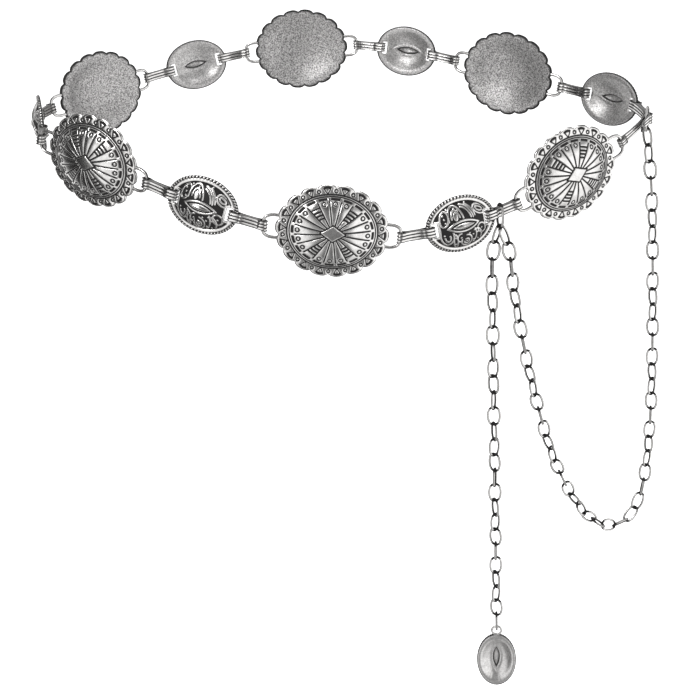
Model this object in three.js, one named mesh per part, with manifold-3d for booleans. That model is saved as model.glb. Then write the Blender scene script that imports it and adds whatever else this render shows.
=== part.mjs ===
import * as THREE from 'three';
import Module from 'manifold-3d';
import { mergeVertices } from 'three/addons/utils/BufferGeometryUtils.js';

const wasm = await Module();
wasm.setup();

// Chain belt shown as worn, in mm. +X is the wearer's left, +Y the back of the waist, +Z up.
// The origin is the middle of the waist the belt hangs round.

// Belt line: a closed curve through every hinge, lower in front than behind.
const lineHalfWidth = 148.5;
const lineHalfDepth = 78;
const lineWidthBulge = 3.9;
const lineDepthBulge = -1.8;
const lineSideShift = -3.5;
const lineFrontShift = -1.4;
const lineEgg = -11.5;
const lineDrop = 0.372;
const lineLean = -0.047;
const lineWave = { cos2: 5.1, sin2: 6.1, cos3: 2.8, sin3: -5.3 };
const lineStart = -4;
const claspRoom = 26;
const lineSteps = 2880;

// Conchos that hang off the belt line: how far each slides along it towards the next, in mm, and
// how far it swings forward about its right hinge, in degrees.
const offLine = [
  { station: 9, slide: 2.2, swing: 0 },
  { station: 10, slide: 0, swing: 7 },
];

// Conchos: the scalloped large one, the roped small one and the drop.
const conchoCount = 12;
const clearance = 0.3;
const large = { w: 52, h: 43, dome: 5.4, rim: 1.3, scallops: 18, valley: 0.945 };
const loopWire = 0.75;
const loopStandOff = 5.6;
const loopReach = large.w / 2 + loopStandOff;
const loopHalfHeight = 5.2;
const loopCorner = { along: 2.9, up: 1.9 };
const loopRoot = 1.6;
const small = { w: 34.4, h: 26.4, dome: 4.2, rim: 1.4, sides: 28 };
const barWide = 3.1;
const barInset = 1.6;
const smallHinge = small.w / 2 - barInset;
const slotWide = 2.5;
const slotOuter = small.w / 2 - barWide;
const slotInner = slotOuter - slotWide;
const slotHalfHeight = 3.35;
const slotCutDeep = 3 * small.dome;
const drop = { w: 32.5, h: 20.8, dome: 3.6, rim: 1.3, sides: 24 };
const dropRingRadius = 2.5;
const dropRingWire = 0.6;
const dropRingRoot = 0.4;

// Rings of each dish, from the rim in: share of the way out, sides, and share of the dome's height.
const largeRings = [{ rho: 0.78, n: 18, rise: 0.167 }, { rho: 0.5, n: 12, rise: 0.722 }];
const smallRings = [{ rho: 0.8, n: 14, rise: 0 }, { rho: 0.5, n: 12, rise: 0.69 }];
const dropRings = [{ rho: 0.6, n: 12, rise: 0.61 }];

// Strips that couple a large concho to a small one.
const stripHalfHeight = 2.2;
const stripThick = 0.85;
const stripWaist = 1.0;
const waistStart = 0.5;
const foldTrim = 0.35;
const pocketSlack = 0.05;
const barHalfLong = barWide / 2 + 0.15;
const barHalfThick = small.rim / 2;
const loopFold = { hole: 0.55, shell: 0.9 };
const slotFold = { hole: 0.3, shell: 0.8 };
const ringFold = { hole: 0.5, shell: 0.9, halfHeight: 2.1 };

// Clasp: the hook on the last large concho and the end ring it catches.
const ringCentre = new THREE.Vector3(148.5, -8, -1);
const ringLong = 12.6;
const ringWide = 8;
const ringWire = 0.65;
const hookThick = 1.2;
const hookHalfHeight = 1.9;
const hookReturn = 7;
const hookRootGap = 0.6;
const hookSag = { root: 0.1, middle: 0.3, neck: 0.1 };
const hookMiddle = 3.2;
const hookNeck = 1.2;
const hookBend = { from: -60, to: 100, steps: 4 };
const hookTip = { share: 0.55, ease: 0.2, open: 1.6, narrow: 0.5 };
const hookPad = { halfLong: 1.6, halfThick: 1.0, corner: 0.4, eyeLong: 0.4, eyeThick: 0.3, eyeCorner: 0.1 };

// Chain links.
const wire = 1.05;
const linkWide = 6.9;
const contact = 0.14;
const wireSides = 5;
const tailLinks = 26;
const drapeLinks = 51;
const firstRoll = 12;
const rollStep = -108;
const tailRollStep = -(90 + firstRoll + 7 * 360) / (tailLinks - 2);
const bandOffset = 4.6;
const bandLift = 0.6;
const bandExtra = 2.1;
const jointSpread = 0.9;
const linkLongRange = { shortest: 1.3 * linkWide, longest: 1.67 * linkWide };
const reached = 0.02;

// Finishes: cast antique silver, and the duller drawn wire.
const castLook = { color: 0xb8b4ad, roughness: 0.32, metalness: 1 };
const wireLook = { color: 0xa3a09a, roughness: 0.4, metalness: 1 };

// Route of the hanging chain, from the front strip down, round and up to the end ring.
const drapeRoute = [
  [79.9, -55.6, -51], [82.7, -50.6, -73.5], [88.6, -46.8, -106.5], [96, -42, -139],
  [104.5, -36.5, -169], [115, -29.5, -194], [126, -22.5, -211.5], [137.5, -15, -220.5],
  [148.5, -8, -219.7], [154.8, -4.3, -208], [158, -2, -187], [158.8, -1.4, -158],
  [157.9, -1.8, -122], [155.8, -3.4, -80], [152.6, -5.6, -35],
];

// Route of the tail, from the same strip straight down.
const tailRoute = [[72.7, -53, -54], [72.7, -54.2, -90], [73.8, -55.2, -170], [75.2, -55.5, -275]];

const V = (x, y, z) => new THREE.Vector3(x, y, z);
const deg = (a) => (a * Math.PI) / 180;
const up = V(0, 0, 1);

function lineAt(t) {
  const x = lineHalfWidth * Math.cos(t) + lineWidthBulge * Math.cos(3 * t)
    + lineSideShift * Math.cos(2 * t);
  const y = lineHalfDepth * Math.sin(t) + lineDepthBulge * Math.sin(3 * t)
    + lineFrontShift * Math.cos(2 * t) + lineEgg * Math.sin(2 * t);
  const z = lineDrop * y + lineLean * x
    + lineWave.cos2 * Math.cos(2 * t) + lineWave.sin2 * Math.sin(2 * t)
    + lineWave.cos3 * Math.cos(3 * t) + lineWave.sin3 * Math.sin(3 * t);
  return V(x, y, z);
}

// The belt line measured by length, starting at the front.
const linePoints = [];
const lineLengths = [0];
for (let i = 0; i <= lineSteps; i += 1) {
  linePoints.push(lineAt(1.5 * Math.PI + (2 * Math.PI * i) / lineSteps));
  if (i > 0) lineLengths.push(lineLengths[i - 1] + linePoints[i].distanceTo(linePoints[i - 1]));
}
const lineLength = lineLengths[lineSteps];

function along(s) {
  const want = (((s + lineStart) % lineLength) + lineLength) % lineLength;
  let lo = 0;
  let hi = lineSteps;
  while (hi - lo > 1) {
    const mid = (lo + hi) >> 1;
    if (lineLengths[mid] <= want) lo = mid;
    else hi = mid;
  }
  const f = (want - lineLengths[lo]) / (lineLengths[hi] - lineLengths[lo]);
  return linePoints[lo].clone().lerp(linePoints[hi], f);
}

// A station holds one concho: its two hinges lie on the belt line, its face looks outward.
const stationPitch = (lineLength - claspRoom) / conchoCount;
const stations = [];
for (let i = 0; i < conchoCount; i += 1) {
  const isLarge = i % 2 === 0;
  const off = offLine.find((row) => row.station === i) ?? { slide: 0, swing: 0 };
  const s = i * stationPitch + (i > 2 ? claspRoom : 0) + off.slide;
  const reach = isLarge ? loopReach : smallHinge;
  const a = along(s - reach);
  const b = along(s + reach);
  const x = b.clone().sub(a).normalize().applyAxisAngle(up, deg(off.swing));
  const outward = V(x.y, -x.x, 0).normalize();
  const y = outward.clone().negate();
  const z = x.clone().cross(y).normalize();
  const half = a.distanceTo(b) / 2;
  const centre = b.clone().addScaledVector(x, -half);
  stations.push({
    isLarge, centre, x, y, z,
    left: centre.clone().addScaledVector(x, -reach),
    right: centre.clone().addScaledVector(x, reach),
  });
}

// Closed bodies from point rings and back again.
function toSolid(points, tris) {
  let volume = 0;
  for (const [a, b, c] of tris) volume += points[a].dot(points[b].clone().cross(points[c]));
  const facing = volume < 0 ? tris.map(([a, b, c]) => [a, c, b]) : tris;
  const geo = new THREE.BufferGeometry();
  geo.setAttribute('position', new THREE.Float32BufferAttribute(points.flatMap((p) => [p.x, p.y, p.z]), 3));
  geo.setIndex(facing.flat());
  return solidOf(geo);
}

function solidOf(geo) {
  geo.deleteAttribute('normal');
  geo.deleteAttribute('uv');
  const merged = mergeVertices(geo, 1e-4);
  return new wasm.Manifold(new wasm.Mesh({
    numProp: 3,
    vertProperties: new Float32Array(merged.attributes.position.array),
    triVerts: new Uint32Array(merged.index.array),
  }));
}

function toMesh(name, solid, look) {
  const m = solid.getMesh();
  const n = m.numProp;
  const pos = [];
  for (let i = 0; i < m.vertProperties.length; i += n) {
    pos.push(m.vertProperties[i], m.vertProperties[i + 1], m.vertProperties[i + 2]);
  }
  const geo = new THREE.BufferGeometry();
  geo.setAttribute('position', new THREE.Float32BufferAttribute(pos, 3));
  geo.setIndex([...m.triVerts]);
  geo.computeVertexNormals();
  const mesh = new THREE.Mesh(geo, new THREE.MeshStandardMaterial(look));
  mesh.name = name;
  return mesh;
}

function ringStrip(tris, a, na, b, nb, flip) {
  // Joins two closed rings of points of different counts, walking both by angle.
  let i = 0;
  let j = 0;
  while (i < na || j < nb) {
    const stepA = i < na && (j >= nb || (i + 1) / na <= (j + 1) / nb);
    const p = a + (i % na);
    const q = b + (j % nb);
    const r = stepA ? a + ((i + 1) % na) : b + ((j + 1) % nb);
    tris.push(flip ? [p, r, q] : [p, q, r]);
    if (stepA) i += 1;
    else j += 1;
  }
}

// A thin dished oval: the same rings front and back, closed by a wall round the outline.
function dish(size, outline, rings) {
  const points = [];
  const tris = [];
  const sides = [];
  for (const back of [false, true]) {
    const starts = [];
    for (const ring of [{ rho: 1, n: outline.length, rise: 0 }, ...rings]) {
      starts.push({ at: points.length, n: ring.n });
      for (let k = 0; k < ring.n; k += 1) {
        const angle = (2 * Math.PI * k) / ring.n;
        const rho = ring.rho === 1 ? outline[k] : ring.rho;
        const y = (back ? size.rim / 2 : -size.rim / 2) - size.dome * ring.rise;
        points.push(V((size.w / 2) * rho * Math.cos(angle), y, (size.h / 2) * rho * Math.sin(angle)));
      }
    }
    const last = starts[starts.length - 1];
    points.push(V(0, (back ? size.rim / 2 : -size.rim / 2) - size.dome, 0));
    const tip = points.length - 1;
    for (let r = 0; r + 1 < starts.length; r += 1) {
      ringStrip(tris, starts[r].at, starts[r].n, starts[r + 1].at, starts[r + 1].n, !back);
    }
    for (let k = 0; k < last.n; k += 1) {
      const p = last.at + k;
      const q = last.at + ((k + 1) % last.n);
      tris.push(back ? [p, tip, q] : [p, q, tip]);
    }
    sides.push(starts[0].at);
  }
  const n = outline.length;
  for (let k = 0; k < n; k += 1) {
    const q = (k + 1) % n;
    tris.push([sides[0] + k, sides[1] + k, sides[1] + q], [sides[0] + k, sides[1] + q, sides[0] + q]);
  }
  return toSolid(points, tris);
}

// A wire swept along a path; every cross-section lies in the plane halfway between its neighbours.
function wireBody(path, radius, n, closed, side) {
  const points = [];
  const tris = [];
  const count = path.length;
  for (let i = 0; i < count; i += 1) {
    const before = path[closed ? (i - 1 + count) % count : Math.max(i - 1, 0)];
    const after = path[closed ? (i + 1) % count : Math.min(i + 1, count - 1)];
    const along1 = path[i].clone().sub(before).normalize();
    const along2 = after.clone().sub(path[i]).normalize();
    const tangent = along1.clone().add(along2).normalize();
    const turn = Math.max(tangent.dot(along1), tangent.dot(along2), 0.5);
    const across = side.clone();
    const inner = tangent.clone().cross(across).normalize();
    for (let k = 0; k < n; k += 1) {
      const a = (2 * Math.PI * k) / n;
      points.push(path[i].clone()
        .addScaledVector(inner, (radius * Math.cos(a)) / turn)
        .addScaledVector(across, radius * Math.sin(a)));
    }
  }
  const spans = closed ? count : count - 1;
  for (let i = 0; i < spans; i += 1) {
    const p = i * n;
    const q = ((i + 1) % count) * n;
    for (let k = 0; k < n; k += 1) {
      const m = (k + 1) % n;
      tris.push([p + k, p + m, q + m], [p + k, q + m, q + k]);
    }
  }
  if (!closed) {
    const end = (count - 1) * n;
    for (let k = 1; k + 1 < n; k += 1) {
      tris.push([0, k + 1, k], [end, end + k, end + k + 1]);
    }
  }
  return toSolid(points, tris);
}

// An oval link round its centre: long along `axis`, wide along `broad`. Each end is three spans
// with the middle one square to the pull, each side is two.
function ovalPath(centre, axis, broad, long, wide, wireDiameter) {
  const r = (wide - wireDiameter) / 2;
  const tip = (long - wireDiameter) / 2;
  const shoulder = tip - 0.8 * r;
  const path = [];
  for (const end of [1, -1]) {
    for (const [across, up1] of [[r, 0], [r, shoulder], [0.5 * r, tip], [-0.5 * r, tip], [-r, shoulder]]) {
      path.push(centre.clone().addScaledVector(broad, end * across).addScaledVector(axis, end * up1));
    }
  }
  return path;
}

function linkBody(centre, axis, broad, long, wide, wireDiameter, n) {
  const normal = axis.clone().cross(broad).normalize();
  const path = ovalPath(centre, axis, broad, long, wide, wireDiameter);
  return wireBody(path, wireDiameter / 2, n, true, normal);
}

// Large concho: scalloped outline, flange, dome and two D loops cast in one with it.
function largeConcho() {
  const n = large.scallops * 3;
  const pitch = 360 / large.scallops;
  const outline = [];
  for (let k = 0; k < n; k += 1) {
    const inLobe = (((360 * k) / n + pitch / 2) % pitch) / (pitch / 2) - 1;
    outline.push(1 - (1 - large.valley) * inLobe * inLobe);
  }
  let solid = dish(large, outline, largeRings);
  const straight = loopHalfHeight - loopCorner.up;
  for (const side of [1, -1]) {
    const x0 = side * (large.w / 2 - loopRoot);
    const x1 = side * (loopReach - loopCorner.along);
    const x2 = side * loopReach;
    const path = [
      V(x0, 0, -loopHalfHeight), V(x1, 0, -loopHalfHeight), V(x2, 0, -straight),
      V(x2, 0, straight), V(x1, 0, loopHalfHeight), V(x0, 0, loopHalfHeight),
    ];
    solid = solid.add(wireBody(path, loopWire, 5, false, V(0, 1, 0)));
  }
  return solid;
}

// Small concho: dished oval with a slot cut through near each end.
function smallConcho() {
  let solid = dish(small, new Array(small.sides).fill(1), smallRings);
  for (const side of [1, -1]) {
    const slot = new THREE.BoxGeometry(slotWide, slotCutDeep, 2 * slotHalfHeight);
    slot.translate(side * (slotInner + slotWide / 2), -small.dome / 2, 0);
    solid = solid.subtract(solidOf(slot));
  }
  return solid;
}

// The drop: a smaller dished oval hung long side up, with a ring cast on its top end.
function dropConcho() {
  const body = dish(drop, new Array(drop.sides).fill(1), dropRings);
  const path = [];
  const count = 8;
  for (let k = 0; k < count; k += 1) {
    const a = (2 * Math.PI * k) / count;
    path.push(V(
      drop.w / 2 + dropRingRadius - dropRingRoot + dropRingRadius * Math.cos(a),
      0,
      dropRingRadius * Math.sin(a),
    ));
  }
  return body.add(wireBody(path, dropRingWire, 5, true, V(0, 1, 0)));
}

// A strip folded round two upright bars. Each end is { at, x, y, z, hole, shell }: the bar's own
// frame, the pocket round it and the outside of the fold, both as [along, inward] points.
function oval(halfLong, halfThick, cut) {
  return [
    [halfLong, -halfThick + cut], [halfLong, halfThick - cut], [halfLong - cut, halfThick],
    [-halfLong + cut, halfThick], [-halfLong, halfThick - cut], [-halfLong, -halfThick + cut],
    [-halfLong + cut, -halfThick], [halfLong - cut, -halfThick],
  ];
}

function loopEnd(at, frame) {
  const pocket = loopWire + clearance + pocketSlack;
  const outside = pocket + stripThick;
  const shell = oval(outside, outside, loopFold.shell);
  return { at, frame, hole: oval(pocket, pocket, loopFold.hole), shell };
}

function slotEnd(at, frame) {
  const a = barHalfLong + clearance;
  const b = barHalfThick + clearance;
  const shell = oval(a + stripThick, b + stripThick, slotFold.shell);
  return { at, frame, hole: oval(a, b, slotFold.hole), shell };
}

function hullOf(points) {
  const sorted = points.slice().sort((p, q) => p.u - q.u || p.v - q.v);
  const half = (list) => {
    const out = [];
    for (const p of list) {
      while (out.length > 1) {
        const a = out[out.length - 2];
        const b = out[out.length - 1];
        if ((b.u - a.u) * (p.v - a.v) - (b.v - a.v) * (p.u - a.u) > 1e-6) break;
        out.pop();
      }
      out.push(p);
    }
    out.pop();
    return out;
  };
  return [...half(sorted), ...half(sorted.slice().reverse())];
}

// A strip's own frame: from its first bar, along to the second, inward and up.
function stripFrame(ends) {
  const x = ends[1].at.clone().sub(ends[0].at).normalize();
  const lift = ends[0].frame.z.clone().add(ends[1].frame.z).normalize();
  const y = lift.clone().cross(x).normalize();
  return { centre: ends[0].at, x, y, z: x.clone().cross(y).normalize() };
}

// A direction of the belt written in a frame's own axes.
function inFrame(direction, frame) {
  return V(direction.dot(frame.x), direction.dot(frame.y), direction.dot(frame.z));
}

function stripBody(ends, halfHeight) {
  const frame = stripFrame(ends);
  const flat = (p, end) => {
    const q = end.at.clone().addScaledVector(end.frame.x, p[0]).addScaledVector(end.frame.y, p[1]);
    const d = q.sub(frame.centre);
    return { u: d.dot(frame.x), v: d.dot(frame.y), end };
  };
  const length = ends[1].at.distanceTo(ends[0].at);
  const shells = ends.map((end) => end.shell.map((p) => flat(p, end)));
  const holes = ends.map((end) => end.hole.map((p) => flat(p, end)));
  const contour = waisted(hullOf(shells[0]), hullOf(shells[1]), length, ends);
  const shape = contour.map((p) => new THREE.Vector2(p.u, p.v));
  const voids = holes.map((hole) => hullOf(hole).reverse());
  const cuts = voids.map((list) => list.map((p) => new THREE.Vector2(p.u, p.v)));
  const faces = THREE.ShapeUtils.triangulateShape(shape, cuts);
  const all = [...contour, ...voids.flat()];
  const points = [];
  for (const sign of [-1, 1]) {
    for (const p of all) {
      points.push(V(p.u, p.v, 0).addScaledVector(inFrame(p.end.frame.z, frame), sign * halfHeight));
    }
  }
  const n = all.length;
  const tris = [];
  for (const [a, b, c] of faces) {
    tris.push([a, c, b], [a + n, b + n, c + n]);
  }
  let start = 0;
  for (const loop of [contour, ...voids]) {
    for (let k = 0; k < loop.length; k += 1) {
      const p = start + k;
      const q = start + ((k + 1) % loop.length);
      tris.push([p, q, q + n], [p, q + n, p + n]);
    }
    start += loop.length;
  }
  return toSolid(points, tris);
}

// Outline of the strip: round the first fold, along a narrow waist, round the second fold.
function waisted(first, second, length, ends) {
  const a = Math.max(...first.map((p) => p.u));
  const b = Math.min(...second.map((p) => p.u));
  const left = first.filter((p) => p.u < a - foldTrim);
  const right = second.filter((p) => p.u > b + foldTrim);
  const lower = { u: a + waistStart, v: -stripWaist, end: ends[0] };
  const lower2 = { u: b - waistStart, v: -stripWaist, end: ends[1] };
  const upper2 = { u: b - waistStart, v: stripWaist, end: ends[1] };
  const upper = { u: a + waistStart, v: stripWaist, end: ends[0] };
  const byAngle = (list, cu) => list.map((p) => ({ p, a: Math.atan2(p.v, p.u - cu) }));
  const leftOrder = byAngle(left, 0).map(({ p, a: t }) => ({ p, a: t < 0 ? t + 2 * Math.PI : t }))
    .sort((m, n) => m.a - n.a).map(({ p }) => p);
  const rightOrder = byAngle(right, length).sort((m, n) => m.a - n.a).map(({ p }) => p);
  return [...leftOrder, lower, lower2, ...rightOrder, upper2, upper];
}

const group = new THREE.Group();
group.name = 'chain_belt';

// Adds a piece made in its own axes where its frame stands.
function place(mesh, frame) {
  const holder = new THREE.Group();
  holder.position.copy(frame.centre);
  holder.quaternion.setFromRotationMatrix(new THREE.Matrix4().makeBasis(frame.x, frame.y, frame.z));
  holder.add(mesh);
  group.add(holder);
}

const largeBody = largeConcho();
const smallBody = smallConcho();
let largeNumber = 0;
let smallNumber = 0;
for (const station of stations) {
  if (station.isLarge) {
    largeNumber += 1;
    place(toMesh(`concho_large_${largeNumber}`, largeBody, castLook), station);
  } else {
    smallNumber += 1;
    place(toMesh(`concho_small_${smallNumber}`, smallBody, castLook), station);
  }
}

function endOf(station, side) {
  const at = side > 0 ? station.right : station.left;
  return station.isLarge ? loopEnd(at, station) : slotEnd(at, station);
}

// Connectors: one between each pair of neighbours, except where the clasp is.
let stripNumber = 0;
const strips = [];
for (let i = 0; i < conchoCount; i += 1) {
  if (i !== 2) {
    const next = stations[(i + 1) % conchoCount];
    stripNumber += 1;
    strips[i] = { from: stations[i].right, to: next.left };
    const ends = [endOf(stations[i], 1), endOf(next, -1)];
    const strip = toMesh(`connector_${stripNumber}`, stripBody(ends, stripHalfHeight), castLook);
    place(strip, stripFrame(ends));
  }
}

// End ring between the hook and the last connector, standing upright.
const hookStation = stations[2];
const slotStation = stations[3];
const ringAlong = slotStation.left.clone().sub(hookStation.right).setZ(0).normalize();
const ringReach = ringWide / 2 - ringWire;
const nearBar = ringCentre.clone().addScaledVector(ringAlong, -ringReach);
const farBar = ringCentre.clone().addScaledVector(ringAlong, ringReach);
const ringFrame = { centre: ringCentre, x: ringAlong, y: up.clone().cross(ringAlong), z: up };
const ringBody = linkBody(V(0, 0, 0), up, V(1, 0, 0), ringLong, ringWide, 2 * ringWire, wireSides);
place(toMesh('clasp_ring', ringBody, wireLook), ringFrame);

function ringEnd(at) {
  const pocket = ringWire + clearance + 2 * pocketSlack;
  const outside = pocket + stripThick;
  const shell = oval(outside, outside, ringFold.shell);
  return { at, frame: ringFrame, hole: oval(pocket, pocket, ringFold.hole), shell };
}
const lastEnds = [ringEnd(farBar), endOf(slotStation, -1)];
place(toMesh('connector_12', stripBody(lastEnds, ringFold.halfHeight), castLook), stripFrame(lastEnds));

// Clasp hook: folded round the large concho's loop, open at the end ring.
const hookStart = hookStation.right;
const hookAxis = nearBar.clone().sub(hookStart).normalize();
const hookLift = hookStation.z.clone().addScaledVector(hookAxis, -hookStation.z.dot(hookAxis)).normalize();
const hookReach = nearBar.distanceTo(hookStart);
const hookEnds = [endOf(hookStation, 1), {
  at: hookStart.clone().addScaledVector(hookAxis, hookReach / 2),
  frame: { x: hookAxis, y: hookLift.clone().cross(hookAxis), z: hookLift },
  hole: oval(hookPad.eyeLong, hookPad.eyeThick, hookPad.eyeCorner),
  shell: oval(hookPad.halfLong, hookPad.halfThick, hookPad.corner),
}];
const hookFrame = stripFrame(hookEnds);

// Side view of the hook: along the strip and outward, from its root to its open tip.
function hookProfile() {
  const r = ringWire + clearance + pocketSlack + hookThick / 2;
  const profile = [
    [loopWire + clearance + hookRootGap, -hookSag.root],
    [hookReach - hookMiddle, -hookSag.middle],
    [hookReach - hookNeck, hookSag.neck - r],
  ];
  for (let k = 0; k <= hookBend.steps; k += 1) {
    const a = deg(hookBend.from + ((hookBend.to - hookBend.from) * k) / hookBend.steps);
    profile.push([hookReach + r * Math.cos(a), r * Math.sin(a)]);
  }
  profile.push([hookReach - hookReturn * hookTip.share, r - hookTip.ease]);
  profile.push([hookReach - hookReturn, r + hookTip.open]);
  return profile;
}

function claspHook() {
  const path = hookProfile();
  const upright = inFrame(up, hookFrame);
  const points = [];
  const tris = [];
  path.forEach(([u, v], i) => {
    const before = path[Math.max(i - 1, 0)];
    const after = path[Math.min(i + 1, path.length - 1)];
    const tu = after[0] - before[0];
    const tv = after[1] - before[1];
    const half = hookThick / 2 / Math.hypot(tu, tv);
    const high = i < 3 ? hookHalfHeight : hookHalfHeight - hookTip.narrow;
    for (const [side, z] of [[-1, -1], [1, -1], [1, 1], [-1, 1]]) {
      points.push(V(u - side * tv * half, -(v + side * tu * half), 0)
        .addScaledVector(i < 1 ? up : upright, z * high));
    }
  });
  for (let i = 0; i + 1 < path.length; i += 1) {
    for (let k = 0; k < 4; k += 1) {
      const m = (k + 1) % 4;
      const p = i * 4;
      const q = p + 4;
      tris.push([p + k, p + m, q + m], [p + k, q + m, q + k]);
    }
  }
  const end = (path.length - 1) * 4;
  tris.push([0, 2, 1], [0, 3, 2], [end, end + 1, end + 2], [end, end + 2, end + 3]);
  return stripBody(hookEnds, stripHalfHeight).add(toSolid(points, tris));
}
place(toMesh('clasp_hook', claspHook(), castLook), hookFrame);

// Chain: links march along a route in equal steps, each rolled on from the last.
const linkCross = wire - contact;
const linkStepFor = (long) => long - wire - linkCross;

function march(curve, from, step, count) {
  const joints = [from];
  let t = 0;
  for (let k = 0; k < count; k += 1) {
    const here = joints[joints.length - 1];
    let lo = t;
    let hi = t;
    while (hi < 1 && curve.getPoint(hi).distanceTo(here) < step) hi = Math.min(hi + 0.01, 1);
    for (let i = 0; i < 40; i += 1) {
      const mid = (lo + hi) / 2;
      if (curve.getPoint(mid).distanceTo(here) < step) lo = mid;
      else hi = mid;
    }
    t = hi;
    joints.push(curve.getPoint(t));
  }
  return joints;
}

function chainLinks(joints, long, roll, step, facing) {
  return joints.slice(1).map((end, k) => {
    const start = joints[k];
    const axis = end.clone().sub(start).normalize();
    const across = facing.clone().cross(axis).normalize();
    const toward = axis.clone().cross(across).normalize();
    const a = deg(roll + step * (k - 1));
    const broad = across.multiplyScalar(Math.cos(a)).addScaledVector(toward, Math.sin(a));
    const centre = start.clone().add(end).multiplyScalar(0.5);
    return linkBody(centre, axis, broad, long, linkWide, wire, wireSides);
  });
}

const bandStrip = strips[1];
const bandAxis = bandStrip.to.clone().sub(bandStrip.from).normalize();
const bandOut = V(bandAxis.y, -bandAxis.x, 0).normalize();
const bandPoint = bandStrip.from.clone().addScaledVector(bandAxis, bandOffset);
const ringFoot = ringCentre.clone().addScaledVector(up, -(ringLong / 2 - ringWire));

// The band link goes round the strip; both chains start in its lower bend. The link length is
// the one that lets the chosen number of links reach the end ring.
function drapeFor(long) {
  const bandLong = long + bandExtra;
  const bandRise = stripHalfHeight + bandLift - (bandLong / 2 - wire);
  const bandCentre = bandPoint.clone().addScaledVector(up, bandRise);
  const foot = bandCentre.clone().addScaledVector(up, -((bandLong - wire) / 2 - linkCross / 2));
  const first = foot.clone().addScaledVector(bandOut, jointSpread);
  const lastRise = ringWire + clearance + (wire - linkCross) / 2 + pocketSlack;
  const last = ringFoot.clone().addScaledVector(up, lastRise);
  const route = [first, ...drapeRoute.map((p) => V(...p)), last];
  return { bandCentre, bandLong, foot, first, last, curve: chainCurve(route) };
}

function chainCurve(route) {
  return new THREE.CatmullRomCurve3(route, false, 'centripetal');
}

let { shortest, longest } = linkLongRange;
for (let i = 0; i < 30; i += 1) {
  const long = (shortest + longest) / 2;
  const { curve, first, last } = drapeFor(long);
  const joints = march(curve, first, linkStepFor(long), drapeLinks);
  if (joints[drapeLinks].distanceTo(last) > reached) shortest = long;
  else longest = long;
}

const linkLong = (shortest + longest) / 2;
const linkStep = linkStepFor(linkLong);
const drape = drapeFor(linkLong);
const facing = V(0, -1, 0);
const drapeJoints = march(drape.curve, drape.first, linkStep, drapeLinks);
const { bandCentre, bandLong } = drape;
const bandLink = linkBody(bandCentre, up, bandOut, bandLong, linkWide, wire, wireSides);
const drapeBodies = chainLinks(drapeJoints, linkLong, firstRoll, rollStep, facing);
group.add(toMesh('drape_chain', wasm.Manifold.union([bandLink, ...drapeBodies]), wireLook));

const tailTop = drape.foot.clone().addScaledVector(bandOut, -jointSpread)
  .addScaledVector(up, contact + clearance);
const tailCurve = chainCurve([tailTop, ...tailRoute.map((p) => V(...p))]);
const tailJoints = march(tailCurve, tailTop, linkStep, tailLinks);
const tailBodies = chainLinks(tailJoints, linkLong, firstRoll, tailRollStep, facing);
group.add(toMesh('tail_chain', wasm.Manifold.union(tailBodies), wireLook));

// The drop hangs by its ring on the last link's lower bend.
const dropBar = tailJoints[tailLinks].clone().addScaledVector(up, -linkCross / 2);
const dropTop = dropBar.clone().addScaledVector(up, wire / 2 + clearance + 2 * pocketSlack);
const dropHang = drop.w / 2 + 2 * dropRingRadius - dropRingRoot - dropRingWire;
const dropMiddle = dropTop.clone().addScaledVector(up, -dropHang);
const dropFrame = { x: up, y: V(0, -1, 0), z: V(1, 0, 0), centre: dropMiddle };
place(toMesh('drop_concho', dropConcho(), castLook), dropFrame);

export default group;
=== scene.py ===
"""Concho chain belt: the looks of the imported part. Sizes are named in millimetres and built in metres."""

import math

import bmesh
import bpy
import numpy as np
from mathutils import Matrix, Vector
from mathutils.geometry import tessellate_polygon


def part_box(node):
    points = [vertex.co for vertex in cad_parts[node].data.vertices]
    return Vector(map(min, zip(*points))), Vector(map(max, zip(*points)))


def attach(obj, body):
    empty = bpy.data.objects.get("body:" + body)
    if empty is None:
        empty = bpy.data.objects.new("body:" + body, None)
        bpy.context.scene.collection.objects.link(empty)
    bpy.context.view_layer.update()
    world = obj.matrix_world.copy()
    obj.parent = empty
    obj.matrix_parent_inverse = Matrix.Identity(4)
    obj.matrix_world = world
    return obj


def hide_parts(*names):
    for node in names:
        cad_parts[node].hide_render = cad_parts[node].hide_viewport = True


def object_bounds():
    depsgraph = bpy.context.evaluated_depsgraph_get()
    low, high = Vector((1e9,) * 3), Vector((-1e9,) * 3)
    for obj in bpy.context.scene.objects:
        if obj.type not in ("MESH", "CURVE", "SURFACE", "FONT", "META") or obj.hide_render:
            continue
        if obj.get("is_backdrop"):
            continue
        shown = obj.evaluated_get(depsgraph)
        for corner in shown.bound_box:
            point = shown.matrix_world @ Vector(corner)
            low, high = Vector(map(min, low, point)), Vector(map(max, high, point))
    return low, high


MM = 0.001

# Camera of the photograph, taken as 700 x 700 pixels.
FRAME_PIXELS = 700
FOCAL_PIXELS = 1149.0
SENSOR = 36.0
CAMERA_AT = (55.753, -582.062, 90.575)
CAMERA_PITCH = math.radians(-20.0)
CAMERA_YAW = 0.0995
CAMERA_ROLL = -0.0431

# Large concho, a scalloped oval.
LARGE_WIDE = 52.0
LARGE_HIGH = 43.0
LARGE_DOME = 5.4
LARGE_RIM = 1.3
LARGE_BACK = 0.713
SCALLOPS = 18
VALLEY = 0.945
FLANGE = 0.78
FLANGE_RISE = 0.9
PANELS = 20
LADDER_PANELS = (3, 7, 13, 17)
LOOP_WIRE = 0.75
LOOP_REACH = 31.6
LOOP_HALF_HIGH = 5.2
LOOP_CORNER = (2.9, 1.9)
LOOP_ROOT = 1.6
LOOP_SIDES = 14

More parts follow.
